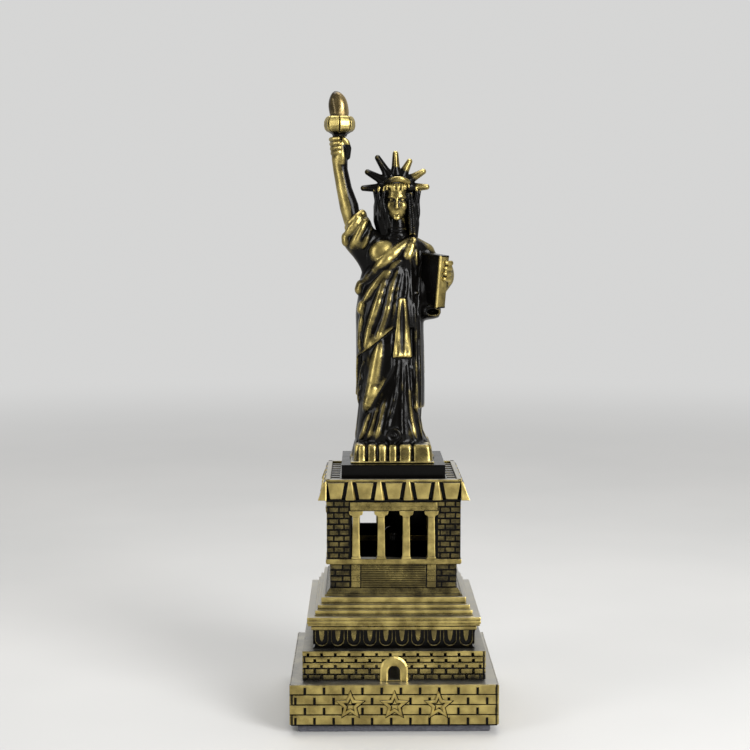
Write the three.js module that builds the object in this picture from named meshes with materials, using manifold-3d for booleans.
// Miniature landmark model: a robed figure with a raised torch on a stepped square pedestal.
// Millimetres, +Z up, front towards -Y, origin at the centre of the underside.
import * as THREE from "three";
import { mergeVertices } from "three/addons/utils/BufferGeometryUtils.js";
import Module from "manifold-3d";

const wasm = await Module();
wasm.setup();

// ---- driving dimensions ----
const GAP = 0.3; // clearance where one piece is let into another
const WALL = 2.5; // wall of the hollow castings
const ROOF = 2; // roof of the hollow castings

// heights of the joints between the stacked pieces, from the table up
const Z = {
  pad: 2.3,
  base: 14.1,
  wall: 22.8,
  band: 28.1,
  fillet: 29.1,
  ledgeUnder: 29.4,
  ledge: 32,
  step3: 33.5,
  step2: 34.9,
  step1: 36.9,
  stepped: 39,
  dado: 45.9,
  string: 47.5,
  sill: 51.3,
  capital: 59.6,
  opening: 61.2,
  shaft: 64.1,
  deck: 69.6,
  parapet: 70.2,
  plinth: 73.7,
  block: 79.1,
  top: 180,
};

// half widths of the square pedestal pieces
const HALF = {
  pad: 27,
  base: 29.2,
  wall: 25.7,
  band: 22.9,
  fillet: 23.3,
  ledge: 24.4,
  step3: 22.2,
  step2: 21.5,
  step1: 20.5,
  stepped: 19.5,
  dado: 18.1,
  string: 19.2,
  shaft: 19,
  cornice: 19.2,
  plinth: 14.8,
  block: 12.1,
};

const SCREW = { shank: 0.8, head: 1.8, inset: 23.2, boss: 6 };
const BOLT = { shank: 1.5, head: 2.8, washer: 3.6, washerThick: 0.6, headThick: 2.2 };
const PLATE = { under: 3.3, top: 4.3 };
const COLUMN = { pitch: 7.1, width: 2, capital: 3.8, depth: 2 };
const PANEL = { thick: 3, back: 16 };
const POST = { radius: 2.7, top: 53.6 };
const DOOR = { outer: 3.9, inner: 1.7, top: 21.3, innerTop: 18.6, depth: 1.5, proud: 0.4 };
const STAR = { count: 3, pitch: 12.3, radius: 4.1, z: 8.3, proud: 0.6, border: 1.4 };
const CORNICE = { blocks: 5, pitch: 8.15, proud: 0.7, wedgeProud: 2 };

// ---- finishes ----
function metal(color, roughness) {
  return new THREE.MeshStandardMaterial({ color, roughness, metalness: 0.9 });
}
const antiqueBrass = metal(0x8c7d41, 0.42);
const coppery = metal(0x7a5a34, 0.4);
const steel = metal(0x9a9a9c, 0.35);
const padding = new THREE.MeshStandardMaterial({ color: 0x43434c, roughness: 0.85 });

// ---- solids ----
function solid(geometry) {
  const bare = geometry.index ? geometry.clone() : geometry;
  bare.deleteAttribute("normal");
  bare.deleteAttribute("uv");
  const merged = mergeVertices(bare, 1e-4);
  return new wasm.Manifold(
    new wasm.Mesh({
      numProp: 3,
      vertProperties: merged.attributes.position.array,
      triVerts: new Uint32Array(merged.index.array),
    }),
  );
}

function geometryOf(made) {
  const mesh = made.getMesh();
  return new THREE.BufferGeometry()
    .setAttribute("position", new THREE.BufferAttribute(mesh.vertProperties, 3))
    .setIndex(new THREE.BufferAttribute(mesh.triVerts, 1));
}

function join(...solids) {
  return solids.reduce((a, b) => a.add(b));
}

function cut(made, ...tools) {
  return tools.reduce((a, b) => a.subtract(b), made);
}

function box(x0, x1, y0, y1, z0, z1) {
  const shape = new THREE.BoxGeometry(x1 - x0, y1 - y0, z1 - z0);
  return solid(shape.translate((x0 + x1) / 2, (y0 + y1) / 2, (z0 + z1) / 2));
}

function square(half, z0, z1) {
  return box(-half, half, -half, half, z0, z1);
}

function disc(radius, z0, z1, x = 0, y = 0, sides = 20) {
  const shape = new THREE.CylinderGeometry(radius, radius, z1 - z0, sides);
  return solid(shape.rotateX(Math.PI / 2).translate(x, y, (z0 + z1) / 2));
}

// A closed frustum of two squares.
function taper(half0, half1, z0, z1) {
  const shape = new THREE.CylinderGeometry(half1 * Math.SQRT2, half0 * Math.SQRT2, z1 - z0, 4);
  return solid(shape.rotateY(Math.PI / 4).rotateX(Math.PI / 2).translate(0, 0, (z0 + z1) / 2));
}

// Skins a stack of level rounded sections {z, x, y, rx, ry}, lowest first, and closes both ends.
function loft(sections, sides = 20, grow = 0) {
  const power = 2 / 2.3;
  const points = [];
  const faces = [];
  for (const s of sections) {
    for (let i = 0; i < sides; i++) {
      const a = (2 * Math.PI * i) / sides;
      const c = Math.cos(a);
      const d = Math.sin(a);
      points.push(
        s.x + (s.rx + grow) * Math.sign(c) * Math.abs(c) ** power,
        s.y + (s.ry + grow) * Math.sign(d) * Math.abs(d) ** power,
        s.z,
      );
    }
  }
  for (let r = 0; r + 1 < sections.length; r++) {
    for (let i = 0; i < sides; i++) {
      const j = (i + 1) % sides;
      const a = r * sides + i;
      const b = r * sides + j;
      faces.push(a, b, b + sides, a, b + sides, a + sides);
    }
  }
  const last = (sections.length - 1) * sides;
  for (let i = 1; i + 1 < sides; i++) {
    faces.push(0, i + 1, i);
    faces.push(last, last + i, last + i + 1);
  }
  const shape = new THREE.BufferGeometry();
  shape.setAttribute("position", new THREE.BufferAttribute(new Float32Array(points), 3));
  shape.setIndex(faces);
  return solid(shape);
}

function blob(x, y, z, rx, ry, rz) {
  const shape = new THREE.SphereGeometry(1, 16, 10).rotateX(Math.PI / 2);
  return solid(shape.scale(rx, ry, rz).translate(x, y, z));
}

// Extrudes an outline drawn in X and Z from y0 back to y1.
function upright(outline, y0, y1) {
  const shape = new THREE.ExtrudeGeometry(outline, { depth: y1 - y0, bevelEnabled: false });
  return solid(shape.rotateX(Math.PI / 2).translate(0, y1, 0));
}

function polygon(points) {
  return new THREE.Shape(points.map(([x, z]) => new THREE.Vector2(x, z)));
}

const part = new THREE.Group();

function place(name, made, material) {
  const mesh = new THREE.Mesh(geometryOf(made), material);
  mesh.name = name;
  part.add(mesh);
}

function turned(made, quarter) {
  return made.rotate([0, 0, 90 * quarter]);
}

// ---- foot pad, closing plate and its screws ----
function footPad() {
  const corner = 2;
  const h = HALF.pad;
  const outline = new THREE.Shape();
  outline.moveTo(-h + corner, -h);
  outline.lineTo(h - corner, -h).quadraticCurveTo(h, -h, h, -h + corner);
  outline.lineTo(h, h - corner).quadraticCurveTo(h, h, h - corner, h);
  outline.lineTo(-h + corner, h).quadraticCurveTo(-h, h, -h, h - corner);
  outline.lineTo(-h, -h + corner).quadraticCurveTo(-h, -h, -h + corner, -h);
  return solid(new THREE.ExtrudeGeometry(outline, { depth: Z.pad, bevelEnabled: false, curveSegments: 4 }));
}

const corners = [
  [-1, -1],
  [1, -1],
  [1, 1],
  [-1, 1],
];

function screwPlaces() {
  return corners.map(([sx, sy]) => [sx * SCREW.inset, sy * SCREW.inset]);
}

function basePlate() {
  const sheet = square(HALF.base - 3 - GAP, PLATE.under, PLATE.top);
  return cut(sheet, ...screwPlaces().map(([x, y]) => disc(SCREW.shank + GAP, 3, 5, x, y)));
}

function baseScrew([x, y]) {
  const head = disc(SCREW.head, PLATE.under - 0.9, PLATE.under, x, y);
  return join(head, disc(SCREW.shank, PLATE.under - 0.1, PLATE.top + 4.5, x, y, 12));
}

// ---- the three hollow castings ----
function starOutline(radius) {
  const points = [];
  for (let i = 0; i < 10; i++) {
    const reach = i % 2 ? radius * 0.45 : radius;
    const a = Math.PI / 2 + (i * Math.PI) / 5;
    points.push([reach * Math.cos(a), reach * Math.sin(a)]);
  }
  return points;
}

function star(x) {
  const outline = polygon(starOutline(STAR.radius).map(([u, v]) => [x + u, STAR.z + v]));
  const hole = starOutline(STAR.radius - STAR.border).map(([u, v]) => [x + u, STAR.z + v]);
  outline.holes.push(new THREE.Path(hole.map(([u, v]) => new THREE.Vector2(u, v))));
  return upright(outline, -HALF.base - STAR.proud, -HALF.base + 0.5);
}

function brickBase() {
  const inner = HALF.base - 3;
  const shell = cut(square(HALF.base, Z.pad, Z.base), square(inner, Z.pad - 1, Z.base - ROOF));
  const centre = inner - SCREW.boss / 2 + 0.5;
  const reach = SCREW.boss / 2 + 0.5;
  const bosses = corners.map(([sx, sy]) => {
    const [x, y] = [sx * centre, sy * centre];
    return box(x - reach, x + reach, y - reach, y + reach, PLATE.top, Z.base - 1);
  });
  const stars = [];
  for (let i = 0; i < STAR.count; i++) stars.push(star((i - (STAR.count - 1) / 2) * STAR.pitch));
  const holes = screwPlaces().map(([x, y]) => disc(SCREW.shank + GAP, 3, PLATE.top + 5, x, y, 12));
  return cut(join(shell, ...bosses, ...stars), ...holes, disc(BOLT.shank + GAP, 10, 16));
}

function archOutline(half, bottom, top) {
  const arch = new THREE.Shape();
  arch.moveTo(-half, bottom).lineTo(half, bottom).lineTo(half, top - half);
  arch.absarc(0, top - half, half, 0, Math.PI, false);
  arch.lineTo(-half, bottom);
  return arch;
}

function wallTier() {
  const inner = HALF.wall - WALL;
  const shell = cut(square(HALF.wall, Z.base, Z.wall), square(inner, Z.base - 1, Z.wall - ROOF));
  const frame = upright(archOutline(DOOR.outer, Z.base, DOOR.top), -HALF.wall - DOOR.proud, -HALF.wall + 1);
  const recess = archOutline(DOOR.inner, Z.base + 0.4, DOOR.innerTop);
  const hollow = upright(recess, -HALF.wall - 1, -HALF.wall + DOOR.depth);
  return cut(join(shell, frame), hollow, disc(BOLT.shank + GAP, 20, 24));
}

function steppedTier() {
  const tiers = [
    [HALF.band, Z.wall, Z.band],
    [HALF.fillet, Z.band, Z.fillet],
    [HALF.band, Z.fillet, Z.ledgeUnder],
    [HALF.ledge, Z.ledgeUnder, Z.ledge],
    [HALF.step3, Z.ledge, Z.step3],
    [HALF.step2, Z.step3, Z.step2],
    [HALF.step1, Z.step2, Z.step1],
  ];
  const outside = tiers.map(([half, z0, z1]) => square(half, z0, z1));
  const foot = taper(HALF.stepped, HALF.dado + 0.1, Z.step1, Z.stepped);
  const lower = square(HALF.band - WALL, Z.wall - 1, Z.ledge - 1);
  const upper = square(HALF.dado - WALL, Z.wall, Z.stepped - ROOF);
  return cut(join(...outside, foot), lower, upper, disc(BOLT.shank + GAP, 36, 40));
}

// ---- the shaft: four upright sides, front and back full width, left and right between them ----
// Each is drawn facing -Y: dado, string course, corner piers, architrave and four columns.
function bayCentres() {
  return [-COLUMN.pitch, 0, COLUMN.pitch];
}

function shaftSide(between, openBays, sill = Z.string) {
  const back = -PANEL.back;
  const trim = between ? PANEL.back : 0;
  const side = (half) => (between ? trim : half);
  const dado = box(-side(HALF.dado), side(HALF.dado), -HALF.dado, back, Z.stepped, Z.dado + 0.5);
  const string = box(-side(HALF.string), side(HALF.string), -HALF.string, back, Z.dado, Z.string);
  const sheet = box(-side(HALF.shaft), side(HALF.shaft), -HALF.shaft, back, Z.string, Z.shaft);
  const half = (COLUMN.pitch - COLUMN.width) / 2;
  const bay = (x, deep, floor) => box(x - half, x + half, -HALF.shaft - 1, deep, floor, Z.opening);
  const cuts = bayCentres().flatMap((x, i) => {
    const niche = bay(x, back - 0.9, Z.string);
    return openBays[i] ? [niche, bay(x, back + 1, sill)] : [niche];
  });
  const capitals = [-1.5, -0.5, 0.5, 1.5].map((k) => {
    const x = k * COLUMN.pitch;
    return box(x - COLUMN.capital / 2, x + COLUMN.capital / 2, -HALF.shaft, back, Z.capital, Z.opening + 0.1);
  });
  return join(dado, string, cut(sheet, ...cuts), ...capitals);
}

// ---- cornice with the deck and its parapet, then the plinth ----
function corniceBlock(x) {
  const top = CORNICE.pitch * 0.32;
  const foot = CORNICE.pitch * 0.22;
  const outline = polygon([
    [x - foot, Z.shaft + 0.3],
    [x + foot, Z.shaft + 0.3],
    [x + top, Z.parapet - 0.5],
    [x - top, Z.parapet - 0.5],
  ]);
  return upright(outline, -HALF.cornice - CORNICE.proud, -HALF.cornice + 1);
}

function corniceWedge(x) {
  const half = CORNICE.pitch * 0.17;
  const reach = HALF.cornice + CORNICE.wedgeProud;
  const corner = new THREE.Shape();
  corner.moveTo(-HALF.cornice + 1, Z.parapet - 0.5);
  corner.lineTo(-HALF.cornice - 0.5, Z.parapet - 0.5);
  corner.lineTo(-reach, Z.shaft + 0.3);
  corner.lineTo(-HALF.cornice + 1, Z.shaft + 0.3);
  const shape = new THREE.ExtrudeGeometry(corner, { depth: 2 * half, bevelEnabled: false });
  shape.rotateX(Math.PI / 2).rotateZ(Math.PI / 2).translate(x - half, 0, 0);
  return solid(shape);
}

function cornice() {
  const side = [];
  for (let i = 0; i < CORNICE.blocks; i++) {
    side.push(corniceBlock((i - (CORNICE.blocks - 1) / 2) * CORNICE.pitch));
  }
  for (let i = 0; i + 1 < CORNICE.blocks; i++) {
    side.push(corniceWedge((i + 1 - CORNICE.blocks / 2) * CORNICE.pitch));
  }
  const onePiece = join(...side);
  const sides = [0, 1, 2, 3].map((quarter) => turned(onePiece, quarter));
  const slab = square(HALF.cornice, Z.shaft, Z.parapet);
  const spikes = taper(HALF.cornice + 2.2, HALF.cornice - 0.2, Z.shaft + 0.3, Z.parapet - 0.5);
  const cross = HALF.cornice - 0.9;
  const corner = cut(
    spikes,
    box(-cross, cross, -40, 40, 60, 80),
    box(-40, 40, -cross, cross, 60, 80),
  );
  const deck = square(HALF.cornice - 1.3, Z.deck, Z.parapet + 1);
  return cut(join(slab, ...sides, corner), deck, disc(BOLT.shank + GAP, 63, 71));
}

function plinth() {
  return cut(square(HALF.plinth, Z.deck, Z.plinth), disc(BOLT.shank + GAP, 69, 75));
}

// ---- bolts, washers and the post ----
function fastener(headBottom, tip) {
  const head = disc(BOLT.head, headBottom, headBottom + BOLT.headThick);
  return join(head, disc(BOLT.shank, headBottom + BOLT.headThick - 0.1, tip));
}

function washer(top) {
  return cut(disc(BOLT.washer, top - BOLT.washerThick, top), disc(BOLT.shank + GAP, top - 2, top + 1));
}

function centrePost() {
  const profile = [new THREE.Vector2(0, Z.stepped)];
  profile.push(new THREE.Vector2(POST.radius, Z.stepped));
  const steps = 5;
  for (let i = 0; i <= steps; i++) {
    const a = (i / steps) * (Math.PI / 2);
    const z = POST.top - POST.radius + POST.radius * Math.sin(a);
    profile.push(new THREE.Vector2(i === steps ? 0 : POST.radius * Math.cos(a), z));
  }
  const turnedPost = solid(new THREE.LatheGeometry(profile, 20).rotateX(Math.PI / 2));
  return cut(turnedPost, disc(BOLT.shank + GAP, Z.stepped - 1, POST.top - 3));
}

// ---- the figure ----
const ROBE = [
  { z: Z.block - 0.5, x: 0, y: 0, rx: 11.6, ry: 11.2 },
  { z: 80.6, x: -0.2, y: 0, rx: 10.6, ry: 10 },
  { z: 83, x: -1.1, y: 0, rx: 9.5, ry: 8.9 },
  { z: 89, x: -0.7, y: 0.2, rx: 9.5, ry: 8.3 },
  { z: 96, x: -0.6, y: 0.4, rx: 9.5, ry: 7.9 },
  { z: 104, x: -0.6, y: 0.4, rx: 9.4, ry: 7.5 },
  { z: 111, x: -0.7, y: 0.3, rx: 9.1, ry: 7.1 },
  { z: 118, x: -0.8, y: 0, rx: 9.3, ry: 6.8 },
  { z: 124, x: -0.3, y: 0, rx: 9.9, ry: 6.6 },
  { z: 130, x: 0.8, y: 0, rx: 9.6, ry: 6.4 },
  { z: 134.5, x: 1, y: 0.2, rx: 9.2, ry: 5.4 },
  { z: 137.6, x: 1.2, y: 0.4, rx: 6.4, ry: 4.2 },
  { z: 139, x: 1.1, y: 0.4, rx: 3.8, ry: 3.4 },
  { z: 145, x: 1.1, y: 0.2, rx: 3, ry: 3 },
];
const SLEEVE = [
  { z: 124, x: -6.5, y: 0, rx: 2.6, ry: 4.4 },
  { z: 128.6, x: -6.4, y: 0, rx: 2.6, ry: 4.6 },
  { z: 132, x: -7.2, y: -0.2, rx: 3.4, ry: 4.6 },
  { z: 135, x: -8.9, y: -0.4, rx: 4.4, ry: 4.4 },
  { z: 138, x: -10.2, y: -0.6, rx: 4.9, ry: 4.2 },
  { z: 141, x: -10, y: -0.8, rx: 4.3, ry: 3.9 },
  { z: 144, x: -9.9, y: -1, rx: 3.2, ry: 3.4 },
  { z: 146, x: -9.9, y: -1, rx: 1.9, ry: 2.6 },
];
const ARM = [
  { z: 138.4, x: -10.9, y: -0.8, rx: 2.1, ry: 2 },
  { z: 142, x: -11.6, y: -0.9, rx: 2.4, ry: 2.3 },
  { z: 146.5, x: -12.5, y: -1, rx: 2.7, ry: 2.5 },
  { z: 152, x: -14, y: -1, rx: 2.3, ry: 2.2 },
  { z: 158.6, x: -15.2, y: -1, rx: 2.3, ry: 2.1 },
  { z: 161, x: -15.4, y: -1, rx: 2.9, ry: 2.7 },
  { z: 165.4, x: -15.4, y: -1, rx: 3, ry: 2.9 },
  { z: 167, x: -15.3, y: -1, rx: 2.4, ry: 2.4 },
];
const TORCH = { x: -15.3, y: -1, foot: 167, ring: 168.9, rim: 172.8, radius: 4.7 };
const HEAD = { x: 1.1, y: -0.2, z: 148.6 };
const FAN = { x: 0.8, z: 152.2, reach: 10.4, root: 5.4, front: -1.2, back: 0.5, rays: 7 };
const TABLET = { x: 11.4, y: -4.7, z: 125.9, wide: 8.6, thick: 3.4, tall: 15.2, turn: -48, lean: 6.5 };

function tablet(grow = 0) {
  const { wide, thick, tall } = TABLET;
  const shape = new THREE.BoxGeometry(wide + 2 * grow, thick + 2 * grow, tall + 2 * grow);
  shape.rotateY(THREE.MathUtils.degToRad(TABLET.lean));
  shape.rotateZ(THREE.MathUtils.degToRad(TABLET.turn));
  return solid(shape.translate(TABLET.x, TABLET.y, TABLET.z));
}

// A half disc with rays, in X and Z. Rays run from level on one side, over the top, to level on the other.
function crown(grow = 0) {
  const points = [];
  const half = 0.62;
  const tip = 1 + grow;
  const foot = 1.25 + grow;
  for (let i = 0; i < FAN.rays; i++) {
    const a = (i * Math.PI) / (FAN.rays - 1);
    const along = [Math.cos(a), Math.sin(a)];
    const across = [-Math.sin(a), Math.cos(a)];
    const at = (r, w) => [FAN.x + r * along[0] + w * across[0], FAN.z + r * along[1] + w * across[1]];
    points.push(at(FAN.root, -foot), at(FAN.reach - half + grow, -tip));
    points.push(at(FAN.reach + grow, 0));
    points.push(at(FAN.reach - half + grow, tip), at(FAN.root, foot));
  }
  return upright(polygon(points), FAN.front - grow, FAN.back + grow);
}

function torchGallery() {
  const { foot, ring, rim, radius } = TORCH;
  const profile = [
    [0, foot],
    [2.2, foot],
    [radius - 0.6, ring],
    [radius, ring + 0.8],
    [radius, rim - 0.6],
    [radius - 0.6, rim],
    [0, rim],
  ].map(([r, z]) => new THREE.Vector2(r, z));
  return new THREE.LatheGeometry(profile, 10).rotateX(Math.PI / 2).translate(TORCH.x, TORCH.y, 0);
}

function flame() {
  const tall = Z.top - TORCH.rim;
  const wide = 3.2;
  const steps = 8;
  const profile = [new THREE.Vector2(0, TORCH.rim), new THREE.Vector2(2.4, TORCH.rim)];
  for (let i = 1; i <= steps; i++) {
    const t = i / steps;
    const r = wide * Math.sqrt(1 - t ** 2.4) * (0.86 + 0.25 * t);
    profile.push(new THREE.Vector2(i === steps ? 0 : r, TORCH.rim + tall * t));
  }
  const shape = new THREE.LatheGeometry(profile, 18);
  return shape.rotateX(Math.PI / 2).translate(TORCH.x - 0.4, TORCH.y, 0);
}

function statue() {
  const { x, y, z } = HEAD;
  const raised = join(
    square(HALF.block, Z.plinth, Z.block),
    loft(ROBE, 24),
    loft(SLEEVE),
    blob(x, y, z, 4.3, 4.9, 6),
    blob(x, y + 2.2, z - 0.5, 5.6, 4.2, 6.4),
    blob(x + 4.3, y + 1.8, z - 8, 2, 2.6, 5),
    blob(x - 3.8, y + 1.6, z - 9, 2, 2.6, 4),
    blob(12.2, -0.6, 129.5, 3.4, 4.6, 5),
    blob(11, -2.6, 117.4, 3.6, 4, 2.6),
    blob(15, -2.4, 127.8, 2.6, 3, 3.8),
  );
  const socket = join(loft(ARM, 16, GAP), disc(2, 137.8, 138.6, ARM[0].x, ARM[0].y));
  return cut(raised, socket, crown(GAP), tablet(GAP), disc(BOLT.shank + GAP, 72, 80.3));
}

// ---- assembly ----
place("foot_pad", footPad(), padding);
place("base_plate", basePlate(), steel);
screwPlaces().forEach((at, i) => place(`base_screw_${i + 1}`, baseScrew(at), steel));
place("brick_base", brickBase(), antiqueBrass);
place("wall_tier", wallTier(), antiqueBrass);
place("stepped_tier", steppedTier(), antiqueBrass);
const boltHead = Z.base - ROOF - BOLT.washerThick - BOLT.headThick;
place("tie_bolt", fastener(boltHead, POST.top - 4), steel);
place("tie_washer", washer(Z.base - ROOF), steel);
place("centre_post", centrePost(), antiqueBrass);
place("shaft_front", shaftSide(false, [true, true, true]), antiqueBrass);
place("shaft_right", turned(shaftSide(true, [false, false, false]), 1), antiqueBrass);
place("shaft_back", turned(shaftSide(false, [false, false, true], Z.sill), 2), antiqueBrass);
place("shaft_left", turned(shaftSide(true, [false, false, false]), 3), antiqueBrass);
place("cornice", cornice(), antiqueBrass);
place("plinth", plinth(), antiqueBrass);
const screwHead = Z.shaft - BOLT.washerThick - BOLT.headThick;
place("statue_screw", fastener(screwHead, Z.block), steel);
place("statue_washer", washer(Z.shaft), steel);
place("statue", statue(), antiqueBrass);
place("crown", crown(), antiqueBrass);
place("torch_arm", loft(ARM, 16), antiqueBrass);
place("torch_gallery", solid(torchGallery()), antiqueBrass);
place("flame", solid(flame()), coppery);
place("tablet", tablet(), antiqueBrass);

export default part;
